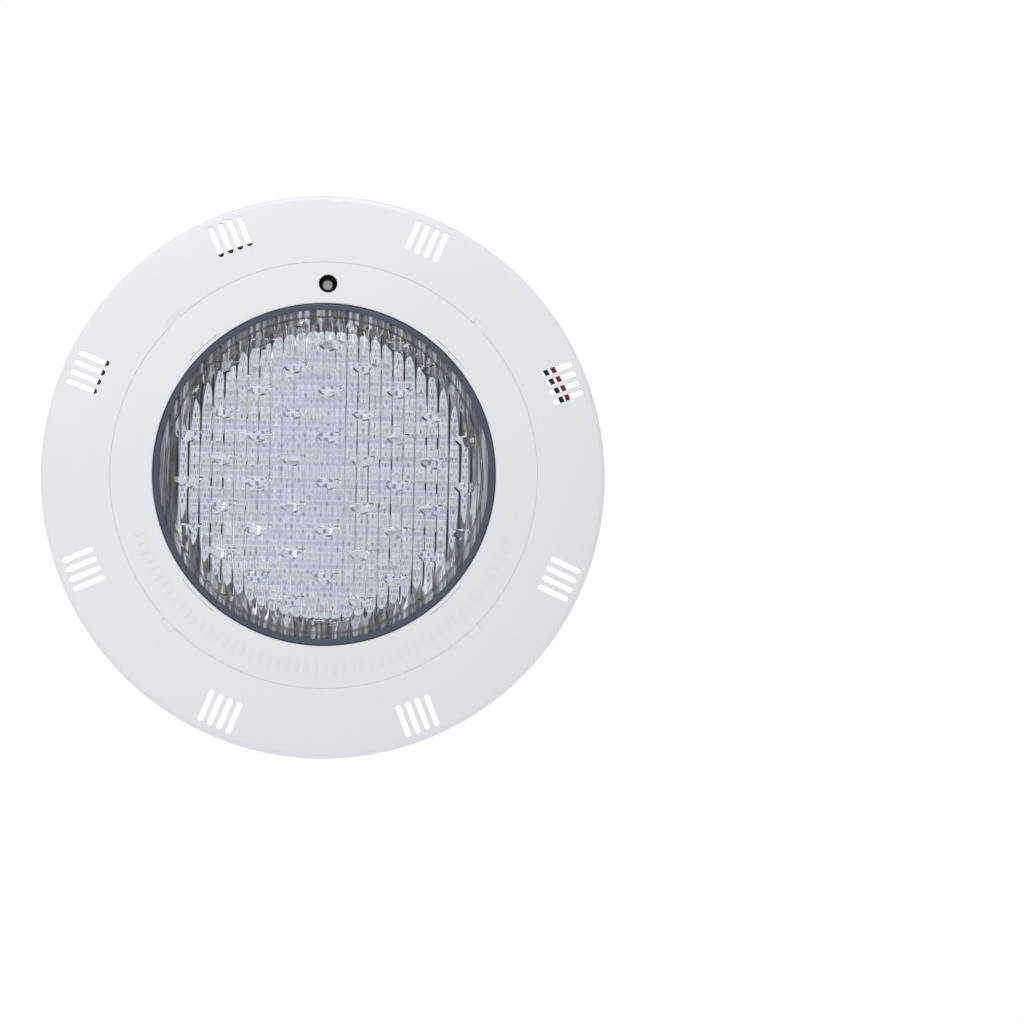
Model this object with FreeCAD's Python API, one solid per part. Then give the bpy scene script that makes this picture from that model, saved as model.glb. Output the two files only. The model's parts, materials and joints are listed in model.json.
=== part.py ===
import FreeCAD, Part
import math
import os

# Wall-mounted underwater pool light, in millimetres.
# +Z is up, the wall is the plane y = 0 and the lens faces -Y, so a depth d lies at y = -d.
# The origin is the centre of the four wall screws, on the wall.

V = FreeCAD.Vector
os.makedirs("parts", exist_ok=True)

# ---- driving dimensions ----
LAMP_Z = -10.0              # height of the lamp's axis
RIM_R = 150.0               # outside of the face ring
RIM_BACK = 12.0             # rear edge of the face ring's skirt
SEAM_R = 113.3              # opening of the face ring, where the bezel sits
SEAM_DEPTH = 34.0           # front of the face ring at the seam
COLLAR_R = 110.3            # inside of the face ring's collar
LEDGE_DEPTH = 31.4          # ledge that the bezel rests on
NOTCH_R = 116.4             # outer end of the notches that the bezel's clips sit in
BEZEL_R = 113.24            # outside of the bezel
BEZEL_BORE_R = 90.8         # bezel opening around the lens
BEZEL_FRONT = 39.0          # front of the bezel at the lens
RING_SCREW_R = 119.0        # screws that join the face ring to the housing's tabs
LENS_R = 88.0               # outside of the lens's wall
LENS_EDGE_DEPTH = 37.0      # where the dome meets the wall
LENS_APEX = 52.0            # front of the dome
LENS_WALL = 3.0             # thickness of the dome
LENS_SIDE = 4.8             # thickness of the side wall
FLANGE_R = 104.0            # outside of the lens's flange
FLANGE_T = 3.0
LENS_SCREW_R = 99.6
BACK_DEPTH = 20.0           # rear face of the housing
BACK_WALL = 3.0
HOUSING_R = 108.5
HOUSING_FRONT = 28.0        # face that carries the lens's flange
BOARD_DEPTH = 30.4          # rear face of the LED board
BOARD_T = 1.6
BOARD_R = 76.0
DRIVER_DEPTH = 24.2         # rear face of the driver board
DRIVER_T = 1.2
PILOT_R = 101.5             # pilot screw, above the lamp's axis
PILOT_LEDGE = 25.0          # seat of the pilot screw's head
PILOT_WELL_FRONT = 32.2     # front of the well round the pilot screw
PILOT_HOLE_R = 4.95
PILOT_SHANK_R = 1.95
INSERT_BORE_R = 2.02        # running fit on the pilot screw

WALL_SPACING_X = 50.0       # wall screw pattern
WALL_SPACING_Z = 140.0
WALL_SCREW_R = 1.9
WALL_HOLE_R = 2.8
BRACKET_HALF_WIDTH = 47.0
PLATE_T = 4.0
CUP_X = 37.5                # the four locating cups
CUP_Z = 87.0
CUP_R = 8.4
CUP_BORE_R = 7.0
CUP_FRONT = 19.8
BOSS_R = 4.9
INSERT_R = 3.0
PEG_R = 6.6                 # the housing's pegs, which stand in the cups
PEG_BACK = 8.0              # rear end of the pegs and of the tongue
BOSS_Z = LAMP_Z + PILOT_R

GLAND_Z = LAMP_Z + 19.0     # axis of the cable gland, along X
GLAND_DEPTH = 10.2
NUT_FLATS = 16.0
NUT_END_X = -20.0           # mouth of the gland nut, where the cable leaves
WASHER_T = 1.2
GLAND_FLANGE_T = 3.6
NECK_R = 6.3
GLAND_STUB_R = 5.4
GLAND_BORE_R = 3.8
SEAL_R = 4.95
CABLE_D = 7.0
CORE_D = 2.5
COIL_OFFSET = (-4.2, 5.5)   # the coil's centre, from the lamp's axis
COIL_OUTER_R = 125.5
COIL_INNER_R = 111.3
COIL_BACK = 4.5
COIL_FRONT = 19.5
TIE_ANGLES = (45.0, 135.0, 225.0)
TIE_NEAR = 3.9              # the strap lies beside the ring screw, from here to TIE_FAR
TIE_FAR = 7.1
DIAGONALS = (45.0, 135.0, 225.0, 315.0)


# ---- helpers ----
def save(name, shape):
    shape.exportStep("parts/" + name + ".step")


def group(solids):
    return Part.makeCompound(solids)


def at(x, depth, z):
    return V(x, -depth, z)


def polar(radius, angle):
    turn = math.radians(angle)
    return radius * math.cos(turn), LAMP_Z + radius * math.sin(turn)


def outline(points, place):
    """Closed face; a point marked "mid" is the middle of an arc between its neighbours."""
    edges = []
    start = points[0]
    middle = None
    for point in points[1:] + points[:1]:
        if point[-1] == "mid":
            middle = point
            continue
        if middle:
            edges.append(Part.Arc(place(start), place(middle), place(point)).toShape())
        else:
            edges.append(Part.LineSegment(place(start), place(point)).toShape())
        start = point
        middle = None
    return Part.Face(Part.Wire(edges))


def turned(points, x=0.0, z=LAMP_Z):
    """Revolve a profile of (radius, depth) points about an axis along Y."""
    face = outline(points, lambda p: V(p[0], -p[1], 0))
    solid = face.revolve(V(0, 0, 0), V(0, 1, 0), 360)
    solid.translate(V(x, 0, z))
    return solid


def plate(points, near, far):
    """Extrude an outline of (x, z) points from one depth to another."""
    face = outline(points, lambda p: at(p[0], near, p[1]))
    return face.extrude(V(0, near - far, 0))


def disc(radius, near, far, x=0.0, z=LAMP_Z):
    return Part.makeCylinder(radius, far - near, at(x, near, z), V(0, -1, 0))


def tube(outer, inner, near, far, x=0.0, z=LAMP_Z):
    return disc(outer, near, far, x, z).cut(disc(inner, near, far, x, z))


def block(x0, x1, near, far, z0, z1):
    return Part.makeBox(x1 - x0, far - near, z1 - z0, at(x0, far, z0))


def spun(shape, angle):
    """Turn a copy about the lamp's axis, anticlockwise as seen from the front."""
    copy = shape.copy()
    copy.rotate(V(0, 0, LAMP_Z), V(0, -1, 0), angle)
    return copy


def on_lamp(shape):
    """Move a shape built round z = 0 to the lamp's axis."""
    shape.translate(V(0, 0, LAMP_Z))
    return shape


def rounded_block(x0, x1, near, far, z0, z1, radius):
    solid = block(x0, x1, near, far, z0, z1)
    upright = [e for e in solid.Edges if abs(e.tangentAt(e.FirstParameter).y) > 0.99]
    return solid.makeFillet(radius, upright)


def thread_points(radius, start, end):
    """Profile of ring-like threads from near the head down to the tip."""
    pitch = 1.4
    root_r = radius * 0.78
    flank = pitch * 0.35
    points = []
    for turn in range(int((start - end) / pitch) - 1):
        crest = start - pitch * (turn + 1)
        points += [(root_r, crest + flank), (radius, crest), (root_r, crest - flank)]
    return points


def cross_recess(near, far, arm, half_slot):
    """Cutter for the cross in a screw's head."""
    level = block(-arm, arm, near, far, -half_slot, half_slot)
    upright = block(-half_slot, half_slot, near, far, -arm, arm)
    return level.fuse(upright).removeSplitter()


def screw(x, z, seat, length, shank_r, head_r, head_h, thread_from=None, neck=None):
    """Pan-head screw along Y with its head to the front; neck is the radius and end depth under the head."""
    tip = seat - length
    point_start = tip + shank_r * 2.2
    profile = [(0, seat + head_h), (head_r * 0.55, seat + head_h * 0.94),
               (head_r * 0.88, seat + head_h * 0.66, "mid"), (head_r, seat)]
    if neck:
        profile += [(neck[0], seat), neck, (shank_r, neck[1])]
    else:
        profile.append((shank_r, seat))
    if thread_from is not None:
        profile.append((shank_r, thread_from))
        profile += thread_points(shank_r, thread_from, point_start)
    profile += [(shank_r * 0.75, point_start), (0, tip)]
    recess = cross_recess(seat + head_h * 0.35, seat + head_h * 1.1, head_r * 0.5, head_r * 0.13)
    body = turned(profile, 0, 0).cut(recess)
    body.translate(V(x, 0, z))
    return body


def hexagon(centre, flats, length):
    """Hexagonal prism along -X from its centre point."""
    corner = flats / math.sqrt(3)
    points = []
    for side in range(7):
        turn = math.radians(60 * side + 30)
        points.append(centre + V(0, corner * math.sin(turn), corner * math.cos(turn)))
    return Part.Face(Part.makePolygon(points)).extrude(V(-length, 0, 0))


def along_x(radius, x_high, length, depth=GLAND_DEPTH, z=GLAND_Z):
    return Part.makeCylinder(radius, length, at(x_high, depth, z), V(-1, 0, 0))


def cord_path(points):
    """Straight runs joined by tangent arcs, each as large as its two runs allow."""
    edges = []
    radii = []
    start = points[0]
    for i in range(1, len(points) - 1):
        back = points[i - 1] - points[i]
        ahead = points[i + 1] - points[i]
        reach = 0.45 * min(back.Length, ahead.Length)
        half_turn = (math.pi - back.getAngle(ahead)) / 2
        radius = reach / math.tan(half_turn)
        radii.append(round(radius, 1))
        back.normalize()
        ahead.normalize()
        arc_start = points[i] + back * reach
        arc_end = points[i] + ahead * reach
        inward = (back + ahead).normalize()
        centre_gap = radius / math.cos(half_turn)
        middle = points[i] + inward * (centre_gap - radius)
        edges.append(Part.LineSegment(start, arc_start).toShape())
        edges.append(Part.Arc(arc_start, middle, arc_end).toShape())
        start = arc_end
    edges.append(Part.LineSegment(start, points[-1]).toShape())
    return Part.Wire(edges), radii


def cord(name, points, diameter):
    """Round cord along a route, with its radii and its volume check printed."""
    wire, radii = cord_path(points)
    first = wire.Edges[0]
    circle = Part.Circle(first.valueAt(first.FirstParameter), first.tangentAt(first.FirstParameter),
                         diameter / 2)
    solid = wire.makePipeShell([Part.Wire([circle.toShape()])], True, True)
    section = math.pi * diameter ** 2 / 4
    print(name, "length", round(wire.Length, 1), "radii", radii,
          "volume ratio", round(solid.Volume / (section * wire.Length), 4))
    return solid


# ---- wall bracket ----
def bracket_plate():
    edge_x = BRACKET_HALF_WIDTH
    points = [(-edge_x, -84), (-edge_x, 84), (-43, 92.5), (0, 100.5, "mid"), (43, 92.5), (edge_x, 84),
              (edge_x, -84), (34, -84), (0, -89.6, "mid"), (-34, -84)]
    solid = plate(points, 0, PLATE_T)
    wide = block(-30.5, 30.5, -1, PLATE_T + 1, -46, 46)
    tall = block(-13.2, 13.2, -1, PLATE_T + 1, -72, 72)
    cross = wide.fuse(tall).removeSplitter()
    upright = [e for e in cross.Edges if abs(e.tangentAt(e.FirstParameter).y) > 0.99]
    return solid.cut(cross.makeFillet(3.4, upright))


def hook_band(inner_z, outer_z, ends, near, far):
    """Curved band of the hook bar, between two arcs below the plate."""
    drop = 5.9 * (ends / 34.0) ** 2
    points = [(-ends, inner_z + drop), (0, inner_z, "mid"), (ends, inner_z + drop),
              (ends, outer_z + drop), (0, outer_z, "mid"), (-ends, outer_z + drop)]
    return plate(points, near, far)


def bracket_cup(side_x, side_z):
    """Cup with a short stiffening rib towards the middle of the bracket."""
    rib_width = 2.4
    rib_length = 9.5
    rib_front = 9.0
    x = side_x * CUP_X
    z = side_z * CUP_Z
    cup = disc(CUP_R, 0, CUP_FRONT, x, z)
    low, high = sorted((z - side_z * (CUP_R - 1), z - side_z * (CUP_R + rib_length)))
    return cup.fuse(block(x - rib_width / 2, x + rib_width / 2, 0, rib_front, low, high))


def hook_bar():
    """Bar in front of the plate's lower end, open behind it for the housing's tongue."""
    reach = 34
    opening = 19.6
    bar_back = 13.8
    bar = hook_band(-94.4, -99.2, reach, bar_back, CUP_FRONT)
    ends = hook_band(-88, -99.2, reach, 0, CUP_FRONT)
    return bar.fuse(ends.cut(block(-opening, opening, -1, CUP_FRONT + 5, -110, -80)))


def wall_bracket():
    cup_floor = 2.5
    drain_r = 0.7
    corners = [(sx, sz) for sx in (-1, 1) for sz in (-1, 1)]
    body = bracket_plate()
    for side_x, side_z in corners:
        body = body.fuse(bracket_cup(side_x, side_z))
    edge_rib = [(-34, 91.5), (0, 96.2, "mid"), (34, 91.5), (34, 93.9), (0, 98.6, "mid"), (-34, 93.9)]
    body = body.fuse([plate(edge_rib, 0, 7), disc(BOSS_R, 0, CUP_FRONT, 0, BOSS_Z), hook_bar()])
    for side_x, side_z in corners:
        body = body.cut(disc(CUP_BORE_R, cup_floor, CUP_FRONT + 5, side_x * CUP_X, side_z * CUP_Z))
        body = body.cut(disc(drain_r, -1, cup_floor + 1, side_x * CUP_X, side_z * CUP_Z))
        hole_x = side_x * WALL_SPACING_X / 2
        body = body.cut(disc(WALL_HOLE_R, -1, PLATE_T + 5, hole_x, side_z * WALL_SPACING_Z / 2))
    body = body.cut(disc(INSERT_R, 3, CUP_FRONT + 5, 0, BOSS_Z))
    return body.removeSplitter()


def threaded_insert():
    return tube(INSERT_R, INSERT_BORE_R, 3, CUP_FRONT, 0, BOSS_Z)


def wall_screws():
    length = 32
    neck = (2.2, 0)
    thread_from = -4.0
    solids = []
    for x in (-WALL_SPACING_X / 2, WALL_SPACING_X / 2):
        for z in (-WALL_SPACING_Z / 2, WALL_SPACING_Z / 2):
            solids.append(screw(x, z, PLATE_T, length, WALL_SCREW_R, 4.4, 3.0, thread_from, neck))
    return group(solids)


# ---- face ring and bezel ----
def slot_cutters():
    slot_width = 3.2
    pitch = 5.4
    inner_r = 127.8
    outer_r = 145.7
    half = slot_width / 2
    cutters = []
    for number in range(8):
        for offset in (-1.5, -0.5, 0.5, 1.5):
            side = offset * pitch
            straight = block(inner_r + half, outer_r - half, 5, 45, side - half, side + half)
            ends = [disc(half, 5, 45, inner_r + half, side), disc(half, 5, 45, outer_r - half, side)]
            slot = on_lamp(straight.fuse(ends))
            cutters.append(spun(slot, 22.5 + 45.0 * number))
    return cutters


def face_ring():
    profile = [(RIM_R, RIM_BACK), (RIM_R, 19.6), (148.9, 22.6, "mid"), (146.4, 24.2),
               (130.5, 29.9, "mid"), (SEAM_R + 0.2, SEAM_DEPTH), (SEAM_R, SEAM_DEPTH - 0.2),
               (SEAM_R, LEDGE_DEPTH), (COLLAR_R, LEDGE_DEPTH), (COLLAR_R, 24.6), (112.8, 24.6),
               (112.8, 28.6), (115.0, 31.0), (130.0, 27.2, "mid"), (145.4, 21.6),
               (147.0, 20.4, "mid"), (147.5, 18.6), (147.5, RIM_BACK)]
    boss_r = 3.6
    pilot_r = 1.2
    notch_floor = 31.6
    ring = turned(profile)
    for angle in DIAGONALS:
        x, z = polar(RING_SCREW_R, angle)
        ring = ring.fuse(disc(boss_r, BACK_DEPTH + BACK_WALL + 0.1, 30.4, x, z))
    ring = ring.cut(slot_cutters())
    notch = on_lamp(block(SEAM_R - 0.5, NOTCH_R, notch_floor, SEAM_DEPTH + 2, -3.9, 3.9))
    for angle in DIAGONALS:
        ring = ring.cut(spun(notch, angle))
        x, z = polar(RING_SCREW_R, angle)
        ring = ring.cut(disc(pilot_r, BACK_DEPTH, 29.6, x, z))
    return ring.removeSplitter()


def bezel_front_depth(radius):
    """Depth of the bezel's gently sloping front at a radius."""
    share = (BEZEL_R - radius) / (BEZEL_R - BEZEL_BORE_R)
    return SEAM_DEPTH + (BEZEL_FRONT - SEAM_DEPTH) * (share + 0.25 * share * (1 - share))


def bezel_ring():
    mid_r = (BEZEL_R + BEZEL_BORE_R) / 2
    profile = [(BEZEL_R, LEDGE_DEPTH + 0.1), (BEZEL_R, SEAM_DEPTH - 0.2), (BEZEL_R - 0.2, SEAM_DEPTH),
               (mid_r, bezel_front_depth(mid_r), "mid"), (BEZEL_BORE_R + 0.8, BEZEL_FRONT),
               (BEZEL_BORE_R + 0.2, BEZEL_FRONT - 0.25, "mid"), (BEZEL_BORE_R, BEZEL_FRONT - 0.9),
               (BEZEL_BORE_R, 33.0), (BEZEL_BORE_R + 1.8, 33.0), (BEZEL_BORE_R + 1.8, 36.2),
               (102.5, 34.4, "mid"), (111.0, LEDGE_DEPTH + 0.1)]
    ring = turned(profile)
    clip_front = SEAM_DEPTH - 0.5
    clip = on_lamp(block(BEZEL_R - 1.2, NOTCH_R - 0.05, 31.8, clip_front, -3.85, 3.85))
    for angle in DIAGONALS:
        ring = ring.cut(spun(relief_groove(), angle))
        ring = ring.fuse(spun(clip, angle))
    ring = ring.fuse(raised_ticks())
    return ring.cut(disc(PILOT_HOLE_R, 28, 45, 0, BOSS_Z)).removeSplitter()


def relief_groove():
    """Cutter for a short shallow groove beside the lens."""
    groove_r = 93.1
    width = 0.35
    deep = 0.6
    half_span = math.radians(7.0)
    front = BEZEL_FRONT + 5
    groove = tube(groove_r + width / 2, groove_r - width / 2, bezel_front_depth(groove_r) - deep, front)
    far = 150.0
    rise = far * math.tan(half_span)
    return groove.common(on_lamp(plate([(0, 0), (far, -rise), (far, rise)], 30, front)))


def raised_ticks():
    """Plain raised ticks along the lower arc of the bezel."""
    first_angle = 199.0
    last_angle = 341.0
    count = 52
    inner_r = 100.2
    outer_r = 105.2
    rise = 0.25
    half_width = 0.6
    corners = [(inner_r, bezel_front_depth(inner_r) - 1), (inner_r, bezel_front_depth(inner_r) + rise),
               (outer_r, bezel_front_depth(outer_r) + rise), (outer_r, bezel_front_depth(outer_r) - 1)]
    side = outline(corners, lambda p: V(p[0], -p[1], LAMP_Z - half_width))
    tick = side.extrude(V(0, 0, 2 * half_width))
    step = (last_angle - first_angle) / (count - 1)
    return [spun(tick, first_angle + step * number) for number in range(count)]


# ---- lens and seals ----
def dome_depth(radius, apex):
    """Depth of the lens's spherical face at a radius."""
    sag = LENS_APEX - LENS_EDGE_DEPTH
    sphere = (LENS_R ** 2 + sag ** 2) / (2 * sag)
    return apex - (sphere - math.sqrt(sphere ** 2 - radius ** 2))


def pilot_scallop(radius):
    return disc(radius, 10, 45, 0, BOSS_Z)


def lens():
    half_r = LENS_R / 2
    inner_r = LENS_R - LENS_SIDE
    inner_apex = LENS_APEX - LENS_WALL
    flange_near = HOUSING_FRONT + 0.2
    flange_far = flange_near + FLANGE_T
    profile = [(0, LENS_APEX), (half_r, dome_depth(half_r, LENS_APEX), "mid"), (LENS_R, LENS_EDGE_DEPTH),
               (LENS_R, flange_far), (FLANGE_R, flange_far), (FLANGE_R, flange_near),
               (inner_r, flange_near), (inner_r, dome_depth(inner_r, inner_apex)),
               (half_r, dome_depth(half_r, inner_apex), "mid"), (0, inner_apex)]
    solid = turned(profile).cut(pilot_scallop(6.4))
    for x, z in lens_screw_places():
        solid = solid.cut(disc(1.9, 20, 40, x, z))
    return solid


def lens_gasket():
    """Seal between the lens and the bezel, with a narrow lip over the lens's edge."""
    lip_r = 87.3
    outer_r = 90.4
    back = HOUSING_FRONT + 0.2 + FLANGE_T + 0.2
    profile = [(lip_r, dome_depth(lip_r, LENS_APEX) + 0.05), (LENS_R + 0.1, LENS_EDGE_DEPTH + 0.1),
               (LENS_R + 0.1, back), (outer_r, back), (outer_r, 38.6), (90.1, 39.4, "mid"), (89.4, 39.7),
               (88.2, 39.6, "mid"), (lip_r, 38.9)]
    return turned(profile)


def lens_o_ring():
    ring_r = 90.7
    section_r = 1.7
    ring = Part.makeTorus(ring_r, section_r, V(0, 0, 0), V(0, 1, 0))
    ring.translate(at(0, HOUSING_FRONT + 0.2 - section_r, LAMP_Z))
    return ring


def lens_screw_places():
    return [polar(LENS_SCREW_R, 22.5 + 45.0 * number) for number in range(8)]


def lens_screws():
    seat = HOUSING_FRONT + 0.2 + FLANGE_T
    return group([screw(x, z, seat, 7.6, 1.5, 2.9, 1.9) for x, z in lens_screw_places()])


# ---- rear housing ----
def board_post_places():
    return [polar(70.0, 30.0 + 60.0 * number) for number in range(6)]


def driver_post_places():
    return [(x, LAMP_Z + v) for x in (-42.0, 42.0) for v in (-46.0, 4.0)]


def housing_shell():
    """Shallow pan with an outer wall, a grooved wall for the O-ring and the screw posts."""
    floor = BACK_DEPTH + BACK_WALL
    profile = [(0, BACK_DEPTH), (HOUSING_R - 1, BACK_DEPTH), (HOUSING_R, BACK_DEPTH + 1),
               (HOUSING_R, HOUSING_FRONT), (105.5, HOUSING_FRONT), (105.5, floor), (95.0, floor),
               (95.0, HOUSING_FRONT), (92.6, HOUSING_FRONT), (92.6, 24.8), (88.8, 24.8),
               (88.8, HOUSING_FRONT), (86.0, HOUSING_FRONT), (86.0, floor), (0, floor)]
    shell = turned(profile)
    root = floor - 1
    posts = [disc(3.2, root, HOUSING_FRONT, x, z) for x, z in lens_screw_places()]
    posts += [disc(3.4, root, BOARD_DEPTH, x, z) for x, z in board_post_places()]
    posts += [disc(2.6, root, DRIVER_DEPTH, x, z) for x, z in driver_post_places()]
    return shell.fuse(posts)


def tie_slot_cutter(angle):
    """Space that a cable tie's strap takes at its tab."""
    inner = coil_edge(COIL_INNER_R, angle)
    return spun(on_lamp(block(inner - 1.9, inner + 0.1, 15, 30, TIE_NEAR - 0.2, 8.0)), angle)


def coil_edge(radius, angle):
    """Distance from the lamp's axis to an edge of the offset coil, at an angle."""
    turn = math.radians(angle)
    return radius + COIL_OFFSET[0] * math.cos(turn) + COIL_OFFSET[1] * math.sin(turn)


def cable_turret():
    """Box on the back that the gland screws into."""
    return rounded_block(0, 24, 1.2, BACK_DEPTH + 1, GLAND_Z - 11, GLAND_Z + 11, 3)


def housing_tabs():
    """Four tabs that carry the face ring."""
    half_width = 7.0
    reach = RING_SCREW_R + 4.6
    tab = on_lamp(block(HOUSING_R - 2, reach, BACK_DEPTH, BACK_DEPTH + BACK_WALL, -half_width, half_width))
    return [spun(tab, angle) for angle in DIAGONALS]


def housing_pegs():
    """Pegs that stand in the bracket's cups, and the tongue that goes behind its hook bar."""
    foot_r = 9.0
    solids = [block(-9, 9, PEG_BACK, BACK_DEPTH + 1, -93.4, -90.4)]
    for x in (-CUP_X, CUP_X):
        for z in (-CUP_Z, CUP_Z):
            solids.append(disc(foot_r, BACK_DEPTH, BACK_DEPTH + BACK_WALL, x, z))
            solids.append(disc(PEG_R, PEG_BACK, BACK_DEPTH + 1, x, z))
    return solids


def ring_screw_cutters():
    """Clearance holes with countersinks in the tabs."""
    hole_r = 1.7
    cutters = []
    for angle in DIAGONALS:
        x, z = polar(RING_SCREW_R, angle)
        cutters.append(disc(hole_r, 10, 30, x, z))
        sink = [(0, 19.9), (3.2, 19.9), (3.2, 20.4), (hole_r, 21.8), (0, 21.8)]
        cutters.append(turned(sink, x, z))
    return cutters


def post_cutters():
    """Pilot holes for the lens, board and driver screws."""
    cutters = [disc(1.55, 23.4, 30, x, z) for x, z in lens_screw_places()]
    cutters += [disc(1.3, 24.4, 32, x, z) for x, z in board_post_places()]
    cutters += [disc(0.9, 21.2, 25, x, z) for x, z in driver_post_places()]
    return cutters


def rear_housing():
    well_r = 6.1
    shank_clearance_r = 3.5
    body = housing_shell().fuse(housing_tabs())
    body = body.fuse(disc(well_r, BACK_DEPTH, PILOT_WELL_FRONT, 0, BOSS_Z))
    body = body.fuse(housing_pegs())
    body = body.fuse(cable_turret())
    body = body.cut(disc(PILOT_HOLE_R, PILOT_LEDGE, 40, 0, BOSS_Z))
    body = body.cut(disc(shank_clearance_r, 10, 30, 0, BOSS_Z))
    body = body.cut(block(6, 21.6, 3.6, 24, GLAND_Z - 8, GLAND_Z + 8))
    body = body.cut(along_x(GLAND_STUB_R + 0.1, 8, 12))
    body = body.cut([tie_slot_cutter(angle) for angle in TIE_ANGLES])
    body = body.cut(ring_screw_cutters())
    body = body.cut(post_cutters())
    return body.removeSplitter()


def ring_screws():
    """Countersunk screws that hold the face ring to the housing's tabs, driven from behind."""
    solids = []
    for angle in DIAGONALS:
        x, z = polar(RING_SCREW_R, angle)
        profile = [(0, 20.1), (2.9, 20.1), (2.9, 20.4), (1.2, 21.9), (1.15, 28.2), (0, 29.4)]
        body = turned(profile, 0, 0).cut(cross_recess(20, 20.9, 1.7, 0.35))
        body.translate(V(x, 0, z))
        solids.append(body)
    return group(solids)


def pilot_screw():
    length = 17.0
    return screw(0, BOSS_Z, PILOT_LEDGE, length, PILOT_SHANK_R, 4.4, 3.0, 19.0)


# ---- light engine ----
def led_board():
    solid = disc(BOARD_R, BOARD_DEPTH, BOARD_DEPTH + BOARD_T)
    for x, z in board_post_places():
        solid = solid.cut(disc(1.7, 29, 34, x, z))
    return solid


def led_chips():
    """Square LED packages in rings, left out where a screw head sits."""
    size = 5.0
    height = 1.6
    top = BOARD_DEPTH + BOARD_T
    first_r = 8.0
    ring_step = 12.0
    spacing = 13.0
    solids = []
    for ring in range(6):
        radius = first_r + ring_step * ring
        count = round(2 * math.pi * radius / spacing)
        for number in range(count):
            x, z = polar(radius, 360.0 * number / count)
            gaps = [math.hypot(x - px, z - pz) for px, pz in board_post_places()]
            if min(gaps) > 6.6:
                half = size / 2
                solids.append(block(x - half, x + half, top, top + height, z - half, z + half))
    return group(solids)


def board_screws():
    seat = BOARD_DEPTH + BOARD_T
    return group([screw(x, z, seat, 7.0, 1.25, 2.6, 1.6) for x, z in board_post_places()])


def reflector_ring():
    inner_r = BOARD_R + 0.3
    outer_r = LENS_R - LENS_SIDE - 0.4
    low = 31.2
    high = 33.9
    wall = 1.0
    return turned([(inner_r, low), (inner_r + 1.1, low), (outer_r, high), (outer_r, high + wall),
                   (outer_r - 0.8, high + wall), (inner_r, low + wall)])


# ---- driver ----
def driver_board():
    solid = rounded_block(-47, 47, DRIVER_DEPTH, DRIVER_DEPTH + DRIVER_T, LAMP_Z - 51, LAMP_Z + 9, 2)
    for x, z in driver_post_places():
        solid = solid.cut(disc(1.2, 22, 28, x, z))
    return solid


def driver_screws():
    seat = DRIVER_DEPTH + DRIVER_T
    return group([screw(x, z, seat, 3.6, 0.85, 1.9, 1.2) for x, z in driver_post_places()])


def on_driver(x0, x1, height, v0, v1):
    base = DRIVER_DEPTH + DRIVER_T
    return block(x0, x1, base, base + height, LAMP_Z + v0, LAMP_Z + v1)


def driver_cans(places, radius, height):
    base = DRIVER_DEPTH + DRIVER_T
    return group([disc(radius, base, base + height, x, LAMP_Z + v) for x, v in places])


# ---- gland and cable ----
def gland_washer():
    return along_x(7.6, 0, WASHER_T).cut(along_x(GLAND_STUB_R + 0.1, 1, WASHER_T + 2))


def gland_body():
    """Threaded stub in the turret, hexagon and clamping neck, with the cable's bore."""
    flange = hexagon(at(-WASHER_T, GLAND_DEPTH, GLAND_Z), NUT_FLATS, GLAND_FLANGE_T)
    stub = 5.5
    neck = 8.7
    body = along_x(GLAND_STUB_R, stub, stub + WASHER_T).fuse(flange)
    body = body.fuse(along_x(NECK_R, -WASHER_T - GLAND_FLANGE_T, neck))
    return body.cut(along_x(GLAND_BORE_R, 6, 12)).cut(along_x(SEAL_R + 0.05, -6, 9))


def gland_seal():
    """Rubber sleeve squeezed between the neck and the cable."""
    return along_x(SEAL_R, -6, 7.5).cut(along_x(CABLE_D / 2, -5, 10))


def gland_nut():
    body = hexagon(at(-5.3, GLAND_DEPTH, GLAND_Z), NUT_FLATS, 10.7)
    dome = Part.makeCone(NUT_FLATS / 2 - 0.2, 5.4, 4.0, at(-16.0, GLAND_DEPTH, GLAND_Z), V(-1, 0, 0))
    body = body.fuse(dome)
    body = body.cut(along_x(NECK_R + 0.08, -4, 10.2))
    return body.cut(along_x(CABLE_D / 2 + 0.35, -13, 8))


def cable_entry():
    """The sheathed cable inside the gland, from the turret to the nut's mouth."""
    return along_x(CABLE_D / 2, 7.5, 7.5 - NUT_END_X)


def lamp_points(points):
    return [at(x, depth, LAMP_Z + v) for x, depth, v in points]


def around(points):
    """Route points given as radius, angle and depth about the lamp's axis."""
    route = []
    for radius, angle, depth in points:
        x, z = polar(radius, angle)
        route.append(at(x, depth, z))
    return route


CABLE_ROUTE = [(NUT_END_X, 10.2, 19.0), (-50.0, 10.2, 19.0), (-84.0, 9.4, 14.5), (-107.5, 8.8, -8.0),
               (-114.0, 8.4, -39.0)]
TAIL_ROUTE = [(115.0, -44.0, 15.6), (120.0, -28.0, 15.6), (127.0, -13.0, 14.8), (133.6, 0.0, 13.0),
              (136.6, 11.5, 12.0)]
RED_ROUTE = [(137.9, 11.5, 12.0), (138.3, 18.0, 12.0), (136.6, 26.0, 11.6), (135.0, 36.0, 11.0),
             (134.6, 45.0, 10.4)]
DARK_ROUTE = [(135.3, 11.5, 12.0), (135.1, 18.0, 12.0), (132.4, 26.0, 11.8), (130.7, 35.0, 11.6),
              (130.2, 43.0, 11.6)]


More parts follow.
